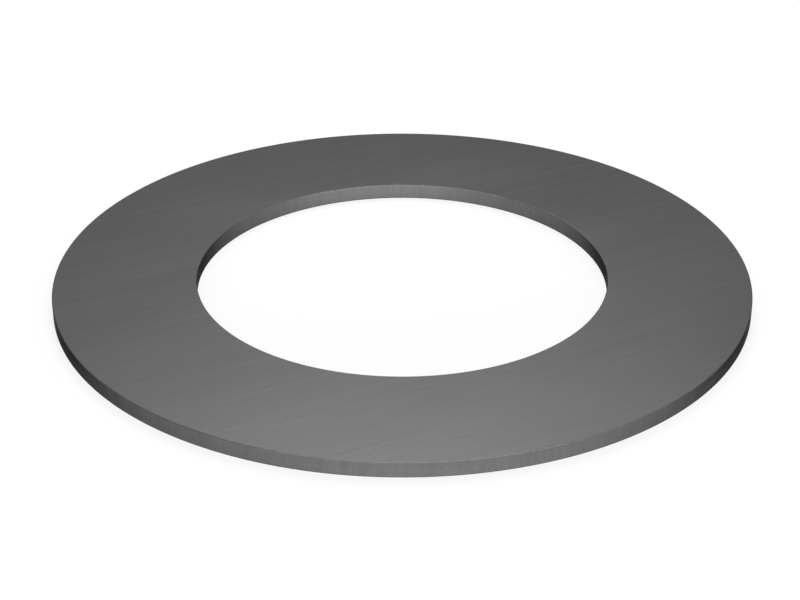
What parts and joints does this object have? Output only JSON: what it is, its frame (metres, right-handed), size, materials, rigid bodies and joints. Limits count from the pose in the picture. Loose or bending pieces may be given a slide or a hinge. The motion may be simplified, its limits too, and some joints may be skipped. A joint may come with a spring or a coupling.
{
  "type": "steel shim",
  "caption": "Thin flat steel ring with a plain round bore, used as a shim to take up end play on a pin, shaft or bolt.",
  "frame": {"origin": "centre of the bore, in the plane of the underside that the shim lies on", "axes": "+Z along the axis of the bore, from the underside to the upper face; the ring is round, so X and Y are any two directions across it"},
  "size_m": [0.044, 0.044, 0.001],
  "materials": {
    "steel": "satin"
  },
  "bodies": {
    "root": {"shim_ring": "steel"}
  },
  "joints": []
}
